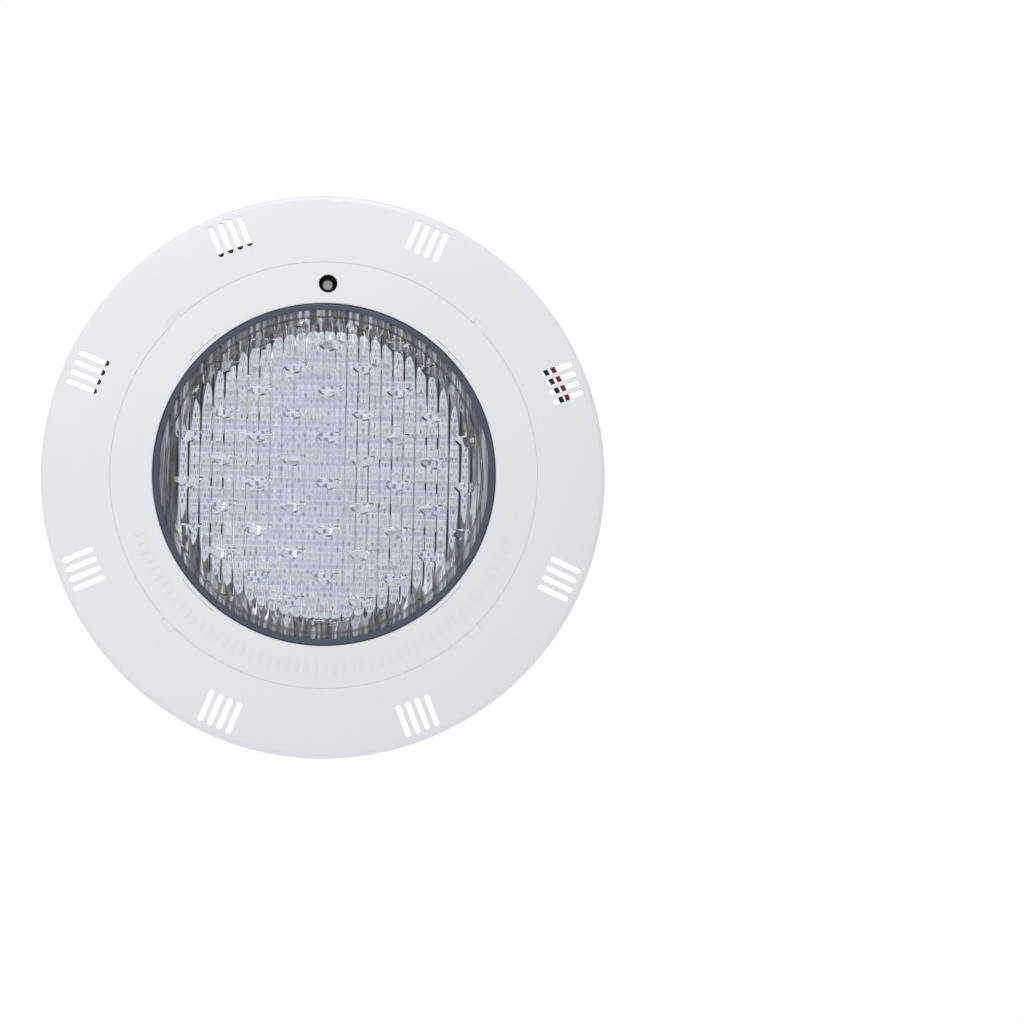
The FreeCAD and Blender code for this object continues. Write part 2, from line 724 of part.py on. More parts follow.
def cable_coil():
    """Outer shape of the turns wound round the back of the lamp."""
    half = (COIL_FRONT - COIL_BACK) / 2
    middle = (COIL_FRONT + COIL_BACK) / 2
    bulge = 2.0
    profile = [(COIL_INNER_R + bulge, COIL_BACK), (COIL_OUTER_R - bulge, COIL_BACK),
               (COIL_OUTER_R, COIL_BACK + bulge), (COIL_OUTER_R, middle + half - bulge),
               (COIL_OUTER_R - bulge, COIL_FRONT), (COIL_INNER_R + bulge, COIL_FRONT),
               (COIL_INNER_R, COIL_FRONT - bulge), (COIL_INNER_R, COIL_BACK + bulge)]
    return turned(profile, COIL_OFFSET[0], LAMP_Z + COIL_OFFSET[1])


def cable_ties():
    """Straps that hold the coil to the housing's tabs."""
    strap = 1.2
    front = BACK_DEPTH + BACK_WALL + 0.1
    solids = []
    for angle in TIE_ANGLES:
        inner = coil_edge(COIL_INNER_R, angle) - 0.3
        outer = coil_edge(COIL_OUTER_R, angle) + 0.3
        loop = block(inner - strap, outer + strap, COIL_BACK - 0.2 - strap, front + strap,
                     TIE_NEAR, TIE_FAR)
        loop = loop.cut(block(inner, outer, COIL_BACK - 0.2, front, TIE_NEAR - 1, TIE_FAR + 1))
        head = block(outer + strap - 0.1, outer + strap + 3.4, 9, 13.5, TIE_NEAR - 0.6, TIE_FAR + 0.6)
        solids.append(spun(on_lamp(loop.fuse(head)), angle))
    return group(solids)


def inner_lead(colour):
    """Core from the cable's end up through the back wall to the driver board."""
    offset, x_end = {"red": (1.6, 12.5), "dark": (-1.6, 8.5)}[colour]
    points = [(7.5, 10.2, 19.0 + offset), (12.0, 10.2, 19.0 + offset), (13.5, 14.5, 17.5 + offset),
              (13.0, 21.5, 14.5 + offset), (x_end, 27.4, 11.0), (x_end, 27.6, 3.0),
              (x_end, 25.4, -1.0)]
    return cord("inner_lead_" + colour, lamp_points(points), 1.8)


def entry_potting():
    """Resin that seals the turret round the cable's end and its two cores."""
    resin = block(6.2, 21.4, 3.8, 18.0, GLAND_Z - 7.8, GLAND_Z + 7.8)
    return resin.cut([cable_entry(), inner_lead("red"), inner_lead("dark")])


def antenna_wire():
    points = [(36.0, 27.2, -22.0), (46.0, 27.2, -22.0), (55.0, 27.2, -13.0), (58.5, 27.2, 0.0),
              (55.0, 27.2, 13.0), (46.0, 27.2, 22.0)]
    return cord("antenna_wire", lamp_points(points), 1.2)


# ---- write every piece ----
def main():
    save("wall_bracket", wall_bracket())
    save("threaded_insert", threaded_insert())
    save("wall_screws", wall_screws())
    save("face_ring", face_ring())
    save("bezel_ring", bezel_ring())
    save("lens", lens())
    save("lens_gasket", lens_gasket())
    save("lens_o_ring", lens_o_ring())
    save("lens_screws", lens_screws())
    save("rear_housing", rear_housing())
    save("ring_screws", ring_screws())
    save("pilot_screw", pilot_screw())
    save("led_board", led_board())
    save("led_chips", led_chips())
    save("board_screws", board_screws())
    save("reflector_ring", reflector_ring())
    save("driver_board", driver_board())
    save("driver_screws", driver_screws())
    save("bridge_rectifier", on_driver(-12, -3, 2.6, -8, 0))
    save("driver_capacitors", driver_cans([(-26, -6), (-26, -18)], 4.0, 4.5))
    save("driver_inductor", on_driver(-32, -20, 4.3, -42, -30))
    save("colour_transistors", group([on_driver(x, x + 6.5, 2.3, -45, -38) for x in (-10, 0, 10)]))
    save("receiver_module", on_driver(22, 36, 3.2, -30, -10))
    save("board_connector", on_driver(-8, 8, BOARD_DEPTH - DRIVER_DEPTH - DRIVER_T, -30, -27))
    save("gland_washer", gland_washer())
    save("gland_body", gland_body())
    save("gland_seal", gland_seal())
    save("gland_nut", gland_nut())
    save("cable_entry", cable_entry())
    save("inner_lead_red", inner_lead("red"))
    save("inner_lead_dark", inner_lead("dark"))
    save("entry_potting", entry_potting())
    save("antenna_wire", antenna_wire())
    save("cable", cord("cable", lamp_points(CABLE_ROUTE), CABLE_D))
    save("cable_coil", cable_coil())
    save("cable_tail", cord("cable_tail", around(TAIL_ROUTE), CABLE_D))
    save("core_red", cord("core_red", around(RED_ROUTE), CORE_D))
    save("core_dark", cord("core_dark", around(DARK_ROUTE), CORE_D))
    save("cable_ties", cable_ties())


main()
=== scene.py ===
import bmesh
import bpy
import json
import math
from mathutils import Matrix, Vector


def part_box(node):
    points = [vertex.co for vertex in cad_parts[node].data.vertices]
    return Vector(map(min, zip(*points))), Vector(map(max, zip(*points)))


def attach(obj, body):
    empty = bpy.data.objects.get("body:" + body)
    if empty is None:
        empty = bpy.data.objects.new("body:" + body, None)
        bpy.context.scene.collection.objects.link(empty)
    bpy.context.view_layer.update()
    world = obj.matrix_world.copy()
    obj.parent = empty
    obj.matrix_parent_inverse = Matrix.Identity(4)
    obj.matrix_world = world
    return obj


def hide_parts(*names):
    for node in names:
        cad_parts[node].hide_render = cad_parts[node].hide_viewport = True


# Wall-mounted underwater pool light. Everything is in metres in the model's own frame:
# +Z is up, the wall is the plane y = 0 and the lens faces -Y, so a depth d lies at y = -d.

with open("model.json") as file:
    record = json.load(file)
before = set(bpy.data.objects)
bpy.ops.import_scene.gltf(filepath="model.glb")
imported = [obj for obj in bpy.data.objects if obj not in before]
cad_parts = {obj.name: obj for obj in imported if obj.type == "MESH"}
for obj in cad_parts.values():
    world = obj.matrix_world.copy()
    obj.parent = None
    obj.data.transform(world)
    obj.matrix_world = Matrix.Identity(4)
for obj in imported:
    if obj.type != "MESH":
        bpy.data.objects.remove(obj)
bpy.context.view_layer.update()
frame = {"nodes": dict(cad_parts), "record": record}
NODES = frame["nodes"]
MM = 0.001

# ---- driving dimensions, millimetres, worked out from the frame where it has them ----
LENS_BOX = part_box("lens")
BOARD_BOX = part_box("led_board")
LAMP_Z = (BOARD_BOX[0].z + BOARD_BOX[1].z) / 2 / MM
LENS_APEX = -LENS_BOX[0].y / MM
LENS_BACK = -LENS_BOX[1].y / MM
FLANGE_R = (LENS_BOX[1].x - LENS_BOX[0].x) / 2 / MM
BOARD_FRONT = -BOARD_BOX[0].y / MM
BOARD_R = (BOARD_BOX[1].x - BOARD_BOX[0].x) / 2 / MM
LENS_R = 88.0
LENS_EDGE = 37.0            # depth where the dome meets the wall
LENS_WALL = 3.0             # thickness of the dome
LENS_SIDE = 4.8             # thickness of the side wall
FLANGE_T = 3.0
CABLE_D = 7.0
CORE_D = 2.5
DIAGONALS = (45.0, 135.0, 225.0, 315.0)


def at(x, depth, z):
    """A point given in millimetres, with its depth from the wall, as metres in the frame."""
    return Vector((x * MM, -depth * MM, z * MM))


def polar(radius, angle, depth):
    """A point about the lamp's axis; angles run anticlockwise as seen from the front."""
    turn = math.radians(angle)
    return at(radius * math.cos(turn), depth, LAMP_Z + radius * math.sin(turn))


# ---- camera ----
def make_camera():
    """Long lens a little below the lamp's axis, turned so that the light sits left of the middle."""
    distance = 3.0                  # to the face ring's rim
    below = math.radians(3.8)
    aside = math.radians(-1.0)
    rim_depth = 22.0 * MM
    target = Vector((0, -rim_depth, LAMP_Z * MM))
    reach = Vector((math.sin(aside) * math.cos(below), -math.cos(aside) * math.cos(below),
                    -math.sin(below)))
    data = bpy.data.cameras.new("camera")
    camera = bpy.data.objects.new("camera", data)
    bpy.context.scene.collection.objects.link(camera)
    bpy.context.scene.camera = camera
    data.sensor_width = 36.0
    data.lens = 198.2
    data.clip_end = 100.0
    camera.location = target + reach * distance
    look = (target - camera.location).to_track_quat("-Z", "Y")
    pan = math.radians(-1.921)      # the light sits left of the picture's middle
    tilt = math.radians(-0.323)     # and a little above it
    roll = math.radians(1.2)
    turn = Matrix.Rotation(pan, 3, "Y") @ Matrix.Rotation(tilt, 3, "X") @ Matrix.Rotation(roll, 3, "Z")
    camera.rotation_euler = (look.to_matrix() @ turn).to_euler()


make_camera()

# ---- cords ----
CABLE_ROUTE = [(-20.0, 10.2, 19.0), (-50.0, 10.2, 19.0), (-84.0, 9.4, 14.5), (-107.5, 8.8, -8.0),
               (-114.0, 8.4, -39.0)]
TAIL_ROUTE = [(115.0, -44.0, 15.6), (120.0, -28.0, 15.6), (127.0, -13.0, 14.8), (133.6, 0.0, 13.0),
              (136.6, 11.5, 12.0)]
RED_ROUTE = [(137.9, 11.5, 12.0), (138.3, 18.0, 12.0), (136.6, 26.0, 11.6), (135.0, 36.0, 11.0),
             (134.6, 45.0, 10.4)]
DARK_ROUTE = [(135.3, 11.5, 12.0), (135.1, 18.0, 12.0), (132.4, 26.0, 11.8), (130.7, 35.0, 11.6),
              (130.2, 43.0, 11.6)]
COIL_OFFSET = (-4.2, 5.5)


def ease(share):
    """Smooth step from 0 to 1."""
    share = min(max(share, 0.0), 1.0)
    return share * share * (3 - 2 * share)


def coil_points():
    """Two and a third turns: the second lies in front of the first, then moves outside it."""
    start = 202.1
    end = 315.5 + 720.0
    inner_r = 114.95
    layer = 6.95                # from one layer to the next
    back = 8.4
    steps = 60
    points = []
    for step in range(1, steps):
        angle = start + (end - start) * step / steps
        inward = 3.4 * (1 - ease((angle - start) / 45.0))
        radius = inner_r + inward + layer * ease((angle - 750.0) / 70.0)
        depth = back + (layer + 0.25) * ease((angle - 490.0) / 70.0)
        turn = math.radians(angle)
        x = COIL_OFFSET[0] + radius * math.cos(turn)
        z = LAMP_Z + COIL_OFFSET[1] + radius * math.sin(turn)
        points.append(at(x, depth, z))
    return points


def nurbs_cord(name, points, diameter, look):
    """Round cord along a route; it rides with the lamp."""
    curve = bpy.data.curves.new(name, "CURVE")
    curve.dimensions = "3D"
    curve.bevel_depth = diameter * MM / 2
    curve.bevel_resolution = 6
    curve.use_fill_caps = True
    spline = curve.splines.new("NURBS")
    spline.points.add(len(points) - 1)
    for target, point in zip(spline.points, points):
        target.co = (*point, 1.0)
    spline.order_u = 3
    spline.use_endpoint_u = True
    spline.resolution_u = 8
    curve.materials.append(look)
    cord = bpy.data.objects.new(name, curve)
    bpy.context.scene.collection.objects.link(cord)
    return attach(cord, "lamp")


# ---- material tools ----
def blank(name):
    """New material with its node tree, its shader and the object coordinates."""
    made = bpy.data.materials.new(name)
    made.use_nodes = True
    tree = made.node_tree
    place = tree.nodes.new("ShaderNodeTexCoord").outputs["Object"]
    return made, tree, tree.nodes["Principled BSDF"], place


def noise(tree, place, scale, detail=4.0, roughness=0.55):
    """Noise between 0 and 1, mostly near a half."""
    node = tree.nodes.new("ShaderNodeTexNoise")
    node.inputs["Scale"].default_value = scale
    node.inputs["Detail"].default_value = detail
    node.inputs["Roughness"].default_value = roughness
    tree.links.new(place, node.inputs["Vector"])
    return node.outputs["Fac"]


def stretched(tree, place, scale):
    """The coordinates scaled by three different amounts."""
    node = tree.nodes.new("ShaderNodeMapping")
    node.inputs["Scale"].default_value = scale
    tree.links.new(place, node.inputs["Vector"])
    return node.outputs["Vector"]


def ramp(tree, factor, stops):
    """Colour that runs through the stops, each a position and a colour."""
    node = tree.nodes.new("ShaderNodeValToRGB")
    node.color_ramp.elements[0].position = stops[0][0]
    node.color_ramp.elements[0].color = (*stops[0][1], 1)
    node.color_ramp.elements[1].position = stops[-1][0]
    node.color_ramp.elements[1].color = (*stops[-1][1], 1)
    for position, colour in stops[1:-1]:
        node.color_ramp.elements.new(position).color = (*colour, 1)
    tree.links.new(factor, node.inputs["Fac"])
    return node.outputs["Color"]


def spread(tree, factor, low, high):
    """A noise's middle values stretched over a range."""
    node = tree.nodes.new("ShaderNodeMapRange")
    node.inputs["From Min"].default_value = 0.3
    node.inputs["From Max"].default_value = 0.7
    node.inputs["To Min"].default_value = low
    node.inputs["To Max"].default_value = high
    tree.links.new(factor, node.inputs["Value"])
    return node.outputs["Result"]


def bump(tree, shader, height, depth_mm, strength=1.0, soft_edge_mm=0.0):
    """Surface relief, with the edges rounded in the shading where a radius is given."""
    node = tree.nodes.new("ShaderNodeBump")
    node.inputs["Strength"].default_value = strength
    node.inputs["Distance"].default_value = depth_mm * MM
    tree.links.new(height, node.inputs["Height"])
    if soft_edge_mm:
        edge = tree.nodes.new("ShaderNodeBevel")
        edge.samples = 4
        edge.inputs["Radius"].default_value = soft_edge_mm * MM
        tree.links.new(edge.outputs["Normal"], node.inputs["Normal"])
    tree.links.new(node.outputs["Normal"], shader.inputs["Normal"])


def tinted(colour, share):
    """The colour made darker or lighter by a share."""
    return tuple(min(1.0, part * share) for part in colour)


def moulded(name, colour, rough, grain=2600.0, grain_mm=0.02, variation=0.03, edge_mm=0.0, specular=0.5):
    """Moulded plastic or rubber: faint flow clouds, uneven gloss and a fine eroded grain."""
    made, tree, shader, place = blank(name)
    clouds = noise(tree, place, 28.0, 5.0)
    tree.links.new(ramp(tree, clouds, [(0.25, tinted(colour, 1 - variation)), (0.5, colour),
                                       (0.8, tinted(colour, 1 + variation))]), shader.inputs["Base Color"])
    gloss = noise(tree, place, 160.0, 3.0)
    tree.links.new(spread(tree, gloss, rough * 0.85, rough * 1.2), shader.inputs["Roughness"])
    shader.inputs["Specular IOR Level"].default_value = specular
    bump(tree, shader, noise(tree, place, grain, 3.0), grain_mm, 0.5, edge_mm)
    return made


def brushed(name, colour, rough, along=(60.0, 60.0, 2400.0)):
    """Metal with fine drawn lines and uneven gloss."""
    made, tree, shader, place = blank(name)
    shader.inputs["Metallic"].default_value = 1.0
    lines = noise(tree, stretched(tree, place, along), 1.0, 6.0, 0.7)
    tree.links.new(ramp(tree, lines, [(0.3, tinted(colour, 0.8)), (0.7, colour)]),
                   shader.inputs["Base Color"])
    tree.links.new(spread(tree, lines, rough * 0.7, rough * 1.3), shader.inputs["Roughness"])
    bump(tree, shader, lines, 0.012, 0.5, 0.15)
    return made


def painted_reflection_film(name, low, middle, high):
    """Thin metallised film whose colour carries painted reflections: upright streaks from nearly black to
    bright.
    """
    made, tree, shader, place = blank(name)
    # painted reflections: upright dark-to-bright streaks laid into the film's base colour
    lines = noise(tree, stretched(tree, place, (520.0, 10.0, 14.0)), 1.0, 4.0, 0.6)
    tree.links.new(ramp(tree, lines, [(0.36, low), (0.50, middle), (0.60, high)]),
                   shader.inputs["Base Color"])
    shader.inputs["Metallic"].default_value = 0.5
    tree.links.new(spread(tree, lines, 0.12, 0.3), shader.inputs["Roughness"])
    bump(tree, shader, lines, 0.02, 0.5)
    return made


def circuit(name, mask, trace):
    """Circuit board: solder mask over faintly raised copper areas."""
    made, tree, shader, place = blank(name)
    cells = tree.nodes.new("ShaderNodeTexVoronoi")
    cells.distance = "MANHATTAN"
    cells.inputs["Scale"].default_value = 210.0
    tree.links.new(place, cells.inputs["Vector"])
    tree.links.new(ramp(tree, cells.outputs["Distance"], [(0.0, trace), (0.34, trace), (0.4, mask),
                                                          (1.0, mask)]), shader.inputs["Base Color"])
    gloss = noise(tree, place, 400.0)
    tree.links.new(spread(tree, gloss, 0.25, 0.45), shader.inputs["Roughness"])
    bump(tree, shader, cells.outputs["Distance"], 0.03, 0.4)
    return made


def phosphor(name, pale, warm):
    """Diffused LED windows, a few of them warmer than the rest."""
    made, tree, shader, place = blank(name)
    patches = noise(tree, place, 70.0, 1.0)
    tree.links.new(ramp(tree, patches, [(0.0, pale), (0.62, pale), (0.72, warm), (1.0, warm)]),
                   shader.inputs["Base Color"])
    tree.links.new(spread(tree, noise(tree, place, 900.0), 0.25, 0.4), shader.inputs["Roughness"])
    bump(tree, shader, noise(tree, place, 3000.0), 0.01, 0.4)
    return made


def clear(name, colour, rough, ior):
    """Clear moulding; light for the pieces behind it passes straight through."""
    made, tree, shader, place = blank(name)
    shader.inputs["Base Color"].default_value = (*colour, 1)
    shader.inputs["Transmission Weight"].default_value = 1.0
    shader.inputs["IOR"].default_value = ior
    haze = noise(tree, place, 90.0, 3.0)
    tree.links.new(spread(tree, haze, rough * 0.4, rough), shader.inputs["Roughness"])
    bump(tree, shader, noise(tree, place, 60.0, 2.0), 0.004, 0.3)
    through = tree.nodes.new("ShaderNodeBsdfTransparent")
    path = tree.nodes.new("ShaderNodeLightPath")
    mix = tree.nodes.new("ShaderNodeMixShader")
    tree.links.new(path.outputs["Is Shadow Ray"], mix.inputs[0])
    tree.links.new(shader.outputs["BSDF"], mix.inputs[1])
    tree.links.new(through.outputs["BSDF"], mix.inputs[2])
    tree.links.new(mix.outputs["Shader"], tree.nodes["Material Output"].inputs["Surface"])
    return made


WHITE = moulded("white_abs", (0.80, 0.80, 0.825), 0.32, 2400.0, 0.0012, 0.004)
SLATE = moulded("slate_rubber", (0.065, 0.075, 0.110), 0.16, 1500.0, 0.006, 0.06, 0.2)
BLACK = moulded("black_abs", (0.022, 0.022, 0.025), 0.42, 1800.0, 0.05, 0.15, 0.3)
NYLON = moulded("gland_nylon", (0.028, 0.028, 0.032), 0.36, 2600.0, 0.02, 0.15, 0.3)
SEAL = moulded("black_rubber", (0.02, 0.02, 0.022), 0.6, 1400.0, 0.05, 0.2)
SHEATH = moulded("cable_black", (0.017, 0.017, 0.019), 0.45, 1600.0, 0.03, 0.2)
RED = moulded("core_red", (0.55, 0.02, 0.045), 0.35, 2600.0, 0.01, 0.08)
NAVY = moulded("core_dark", (0.014, 0.024, 0.085), 0.35, 2600.0, 0.01, 0.12)
EPOXY = moulded("component_black", (0.025, 0.025, 0.027), 0.5, 3200.0, 0.03, 0.15, 0.2)
RESIN = moulded("clear_resin", (0.06, 0.06, 0.065), 0.12, 300.0, 0.05, 0.2)
PACKAGE = moulded("led_package", (0.78, 0.80, 0.84), 0.35, 3000.0, 0.01, 0.03)
PADS = moulded("tinned_pads", (0.20, 0.25, 0.41), 0.3, 3000.0, 0.01, 0.15)
PALE_HEADS = brushed("pale_screws", (0.80, 0.81, 0.84), 0.35)
STEEL = brushed("stainless", (0.62, 0.62, 0.64), 0.3)
CAN = brushed("component_metal", (0.7, 0.7, 0.72), 0.25, (1400.0, 1400.0, 60.0))
# reflector film with painted reflection streaks in its colour
SILVER_WITH_PAINTED_REFLECTIONS = painted_reflection_film("reflector_grey", (0.012, 0.012, 0.016), (0.20, 0.20, 0.23), (0.85, 0.86, 0.9))
COPPER = brushed("copper_wire", (0.75, 0.42, 0.25), 0.3)
GREEN = circuit("circuit_green", (0.012, 0.12, 0.055), (0.02, 0.2, 0.10))
BOARD = circuit("board_white", (0.80, 0.83, 0.91), (0.70, 0.74, 0.84))
PHOSPHOR = phosphor("led_phosphor", (0.76, 0.79, 0.84), (0.84, 0.72, 0.40))
CLEAR = clear("clear_lens", (0.97, 0.98, 1.0), 0.03, 1.58)
FINISH = {"white_abs": WHITE, "slate_rubber": SLATE, "black_abs": BLACK, "gland_nylon": NYLON,
          "black_rubber": SEAL, "cable_black": SHEATH, "core_red": RED, "core_dark": NAVY,
          "component_black": EPOXY, "clear_resin": RESIN, "led_package": PACKAGE, "stainless": STEEL,
          "component_metal": CAN, "reflector_grey": SILVER_WITH_PAINTED_REFLECTIONS, "copper_wire": COPPER,
          "circuit_green": GREEN, "board_white": BOARD, "clear_lens": CLEAR}


def finish_cad_nodes():
    """Every CAD node gets the material of its slot; the board's screws look paler."""
    for entry in frame["record"]["subparts"]:
        node = NODES[entry["node"]]
        node.data.materials.clear()
        node.data.materials.append(FINISH[entry["material_slot"]])
    NODES["board_screws"].data.materials[0] = PALE_HEADS


# ---- mesh tools ----
def mesh_piece(name, mesh, look, smooth=True):
    """Turns a finished bmesh into a named piece that rides with the lamp."""
    for face in mesh.faces:
        face.smooth = smooth
    data = bpy.data.meshes.new(name)
    mesh.to_mesh(data)
    mesh.free()
    data.materials.append(look)
    piece = bpy.data.objects.new(name, data)
    bpy.context.scene.collection.objects.link(piece)
    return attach(piece, "lamp")


def join_loops(mesh, first, second):
    """Quads between two closed loops of as many vertices."""
    count = len(first)
    for i in range(count):
        j = (i + 1) % count
        mesh.faces.new((first[i], first[j], second[j], second[i]))


# ---- the lens ----
FLUTE_PITCH = 6.08
FLUTE_HEIGHT = 0.84
LIP_HALF = 7.2
LIP_DROP = 5.3
LIP_FOOT = 0.5
LIP_HEIGHT = 1.5
LIP_ROW = 12.3
LIP_COLUMN = 6 * FLUTE_PITCH
LIP_ROW_TOP = -3.5          # height of one row's straight edge above the lamp's axis
LIP_SHIFT = 1.4             # from the lamp's axis to the middle of a lip in that row
INNER_R = LENS_R - LENS_SIDE


def dome_depth(radius, apex):
    """Depth at a radius of a dome with the given apex."""
    sag = LENS_APEX - LENS_EDGE
    sphere = (LENS_R ** 2 + sag ** 2) / (2 * sag)
    return apex - (sphere - math.sqrt(sphere ** 2 - radius ** 2))


def lip_height(x, z):
    """How far a lip stands out at a point, or None outside the half-moons below their straight edges."""
    row = math.ceil((z - LIP_ROW_TOP) / LIP_ROW)
    drop = LIP_ROW_TOP + row * LIP_ROW - z
    shift = LIP_SHIFT + (LIP_COLUMN / 2 if row % 2 else 0.0)
    aside = (x - shift + LIP_COLUMN / 2) % LIP_COLUMN - LIP_COLUMN / 2
    inside = 1 - drop / LIP_DROP - (aside / LIP_HALF) ** 2
    return LIP_FOOT + LIP_HEIGHT * inside if inside > 0 else None


def inner_depth(x, z):
    """Depth of the lens's fluted inner face; flutes and lips grow fainter towards the side wall."""
    least = 0.35                # share of the relief that is left at the side wall
    fade_width = 8.0
    base = 0.15
    out = min(math.hypot(x, z), INNER_R)
    smooth = dome_depth(out, LENS_APEX - LENS_WALL)
    fade = min(1.0, least + (INNER_R - out) / fade_width)
    lip = lip_height(x, z)
    flute = FLUTE_HEIGHT * math.cos(2 * math.pi * x / FLUTE_PITCH)
    return smooth - ((flute if lip is None else lip) + base) * fade


def lens_rows():
    """Heights of the grid's rows, with a close pair at each lip's straight edge."""
    steps = 19
    crease = 0.6
    rows = []
    reach = math.ceil(INNER_R / LIP_ROW) + 1
    for number in range(-reach, reach + 1):
        edge = LIP_ROW_TOP + number * LIP_ROW
        for step in range(steps):
            rows.append(edge + crease + (LIP_ROW - crease) * step / steps)
        rows.append(edge + LIP_ROW)
    return [z for z in rows if abs(z) < INNER_R]


def fluted_cap(mesh):
    """Inner face of the lens as a grid that closes up at its round edge; returns the edge's loop."""
    per_flute = 10
    columns = int(INNER_R / FLUTE_PITCH * per_flute)
    rows = lens_rows()
    upper = []
    lower = []
    last = None
    for i in range(-columns - 1, columns + 2):
        x = max(-INNER_R, min(INNER_R, i * FLUTE_PITCH / per_flute))
        tall = math.sqrt(max(0.0, INNER_R ** 2 - x ** 2))
        heights = [max(-tall, min(tall, z)) for z in [-tall] + rows + [tall]]
        made = {}
        line = []
        for z in heights:
            if z not in made:
                made[z] = mesh.verts.new(at(x, inner_depth(x, z), LAMP_Z + z))
            line.append(made[z])
        if last:
            for j in range(len(line) - 1):
                corners = []
                for vertex in (last[j], line[j], line[j + 1], last[j + 1]):
                    if vertex not in corners:
                        corners.append(vertex)
                if len(corners) > 2:
                    mesh.faces.new(corners)
        last = line
        upper.append(line[-1])
        if line[0] is not line[-1]:
            lower.append(line[0])
    return upper[::-1] + lower


def flange_edge(angle):
    """Outer radius of the flange, with its hollow round the pilot screw's well."""
    well_r = 6.4
    well_at = 101.5
    off = math.radians(angle - 90.0)
    across = well_at * math.sin(off)
    if abs(across) >= well_r or math.cos(off) < 0:
        return FLANGE_R
    return min(FLANGE_R, well_at * math.cos(off) - math.sqrt(well_r ** 2 - across ** 2))


def make_lens():
    """The lens: fluted inner face, side wall, flange and smooth dome."""
    mesh = bmesh.new()
    edge = fluted_cap(mesh)
    angles = [math.degrees(math.atan2(v.co.z / MM - LAMP_Z, v.co.x / MM)) for v in edge]

    def loop(radius, depth):
        return [mesh.verts.new(polar(radius(a) if callable(radius) else radius, a, depth)) for a in angles]

    flange_front = LENS_BACK + FLANGE_T
    profile = [(INNER_R, LENS_BACK), (flange_edge, LENS_BACK), (flange_edge, flange_front),
               (LENS_R, flange_front), (LENS_R, LENS_EDGE)]
    last = edge
    for radius, depth in profile:
        ring = loop(radius, depth)
        join_loops(mesh, last, ring)
        last = ring
    rings = 18
    crisp = math.radians(38)    # edges that turn by more than this stay sharp
    for step in range(1, rings):
        radius = LENS_R * (1 - step / rings)
        ring = loop(radius, dome_depth(radius, LENS_APEX))
        join_loops(mesh, last, ring)
        last = ring
    tip = mesh.verts.new(at(0, LENS_APEX, LAMP_Z))
    for i in range(len(last)):
        mesh.faces.new((last[i], last[(i + 1) % len(last)], tip))
    bmesh.ops.recalc_face_normals(mesh, faces=mesh.faces)
    for line in mesh.edges:
        if len(line.link_faces) == 2 and line.calc_face_angle(0) > crisp:
            line.smooth = False
    lens = mesh_piece("fluted_lens", mesh, CLEAR)
    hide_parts("lens")


# ---- light engine ----
BOARD_POSTS = [(70.0, 30.0 + 60.0 * number) for number in range(6)]
LED_HALF = 2.5
LED_HEIGHT = 1.6


def flat_polar(radius, angle):
    """x and z about the lamp's axis."""
    turn = math.radians(angle)
    return radius * math.cos(turn), radius * math.sin(turn)


def gap_to(x, z, places):
    """Distance to the nearest of the places."""
    return min(math.hypot(x - px, z - pz) for px, pz in places)


def led_places():
    """Centres of the LED packages, in rings, left out where a screw head sits."""
    first_r = 8.0
    ring_step = 12.0
    spacing = 13.0              # between packages along a ring, roughly
    clearance = 6.6             # from a package's middle to a screw's
    posts = [flat_polar(*post) for post in BOARD_POSTS]
    places = []
    for ring in range(6):
        radius = first_r + ring_step * ring
        count = round(2 * math.pi * radius / spacing)
        for number in range(count):
            x, z = flat_polar(radius, 360.0 * number / count)
            if gap_to(x, z, posts) > clearance:
                places.append((x, z))
    return places


def square(mesh, x, z, half_x, half_z, depth):
    """The four corners of an upright rectangle at one depth."""
    corners = [(-1, -1), (1, -1), (1, 1), (-1, 1)]
    return [mesh.verts.new(at(x + a * half_x, depth, LAMP_Z + z + b * half_z)) for a, b in corners]


def stepped_block(mesh, x, z, levels):
    """Stack of square sections, each given as half sizes, depth and the look of the face below it."""
    last = None
    for half_x, half_z, depth, look in levels:
        now = square(mesh, x, z, half_x, half_z, depth)
        if last:
            for i in range(4):
                j = (i + 1) % 4
                mesh.faces.new((last[i], last[j], now[j], now[i])).material_index = look
        last = now
    mesh.faces.new(last).material_index = levels[-1][3]


def make_leds():
    """LED packages: a pale frame with a sunken window of phosphor."""
    mesh = bmesh.new()
    top = BOARD_FRONT + LED_HEIGHT
    half = LED_HALF
    chamfer = 0.2
    rim = 1.9                   # half the width of the window's rim, its floor and its phosphor
    floor = 1.6
    glow = 1.2
    sunk = top - 0.5
    for x, z in led_places():
        stepped_block(mesh, x, z, [(half, half, BOARD_FRONT, 0), (half, half, top - chamfer, 0),
                                   (half - chamfer, half - chamfer, top, 0), (rim, rim, top, 0),
                                   (floor, floor, sunk, 0), (glow, glow, sunk, 1)])
    bmesh.ops.recalc_face_normals(mesh, faces=mesh.faces)
    leds = mesh_piece("led_packages", mesh, PACKAGE, smooth=False)
    leds.data.materials.append(PHOSPHOR)
    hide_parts("led_chips")


def make_pads():
    """Small tinned pads in staggered rows over the board's front."""
    mesh = bmesh.new()
    row_step = 3.04
    column_step = 2.6
    half_x = 0.42
    half_z = 1.05
    pad_front = BOARD_FRONT + 0.12
    edge = BOARD_R - 1.6
    post_gap = 4.6
    led_gap = 3.6
    keep_off = [flat_polar(*post) for post in BOARD_POSTS]
    leds = led_places()
    rows = int(edge / row_step)
    columns = int(edge / column_step)
    for row in range(-rows, rows + 1):
        for column in range(-columns, columns + 1):
            x = (column + (0.5 if row % 2 else 0.0)) * column_step
            z = row * row_step
            inside = math.hypot(x, z) < edge and gap_to(x, z, keep_off) > post_gap
            near_led = min(max(abs(x - lx), abs(z - lz)) for lx, lz in leds)
            if inside and near_led > led_gap:
                stepped_block(mesh, x, z, [(half_x, half_z, BOARD_FRONT, 0), (half_x, half_z, pad_front, 0)])
    bmesh.ops.recalc_face_normals(mesh, faces=mesh.faces)
    mesh_piece("board_pads", mesh, PADS, smooth=False)


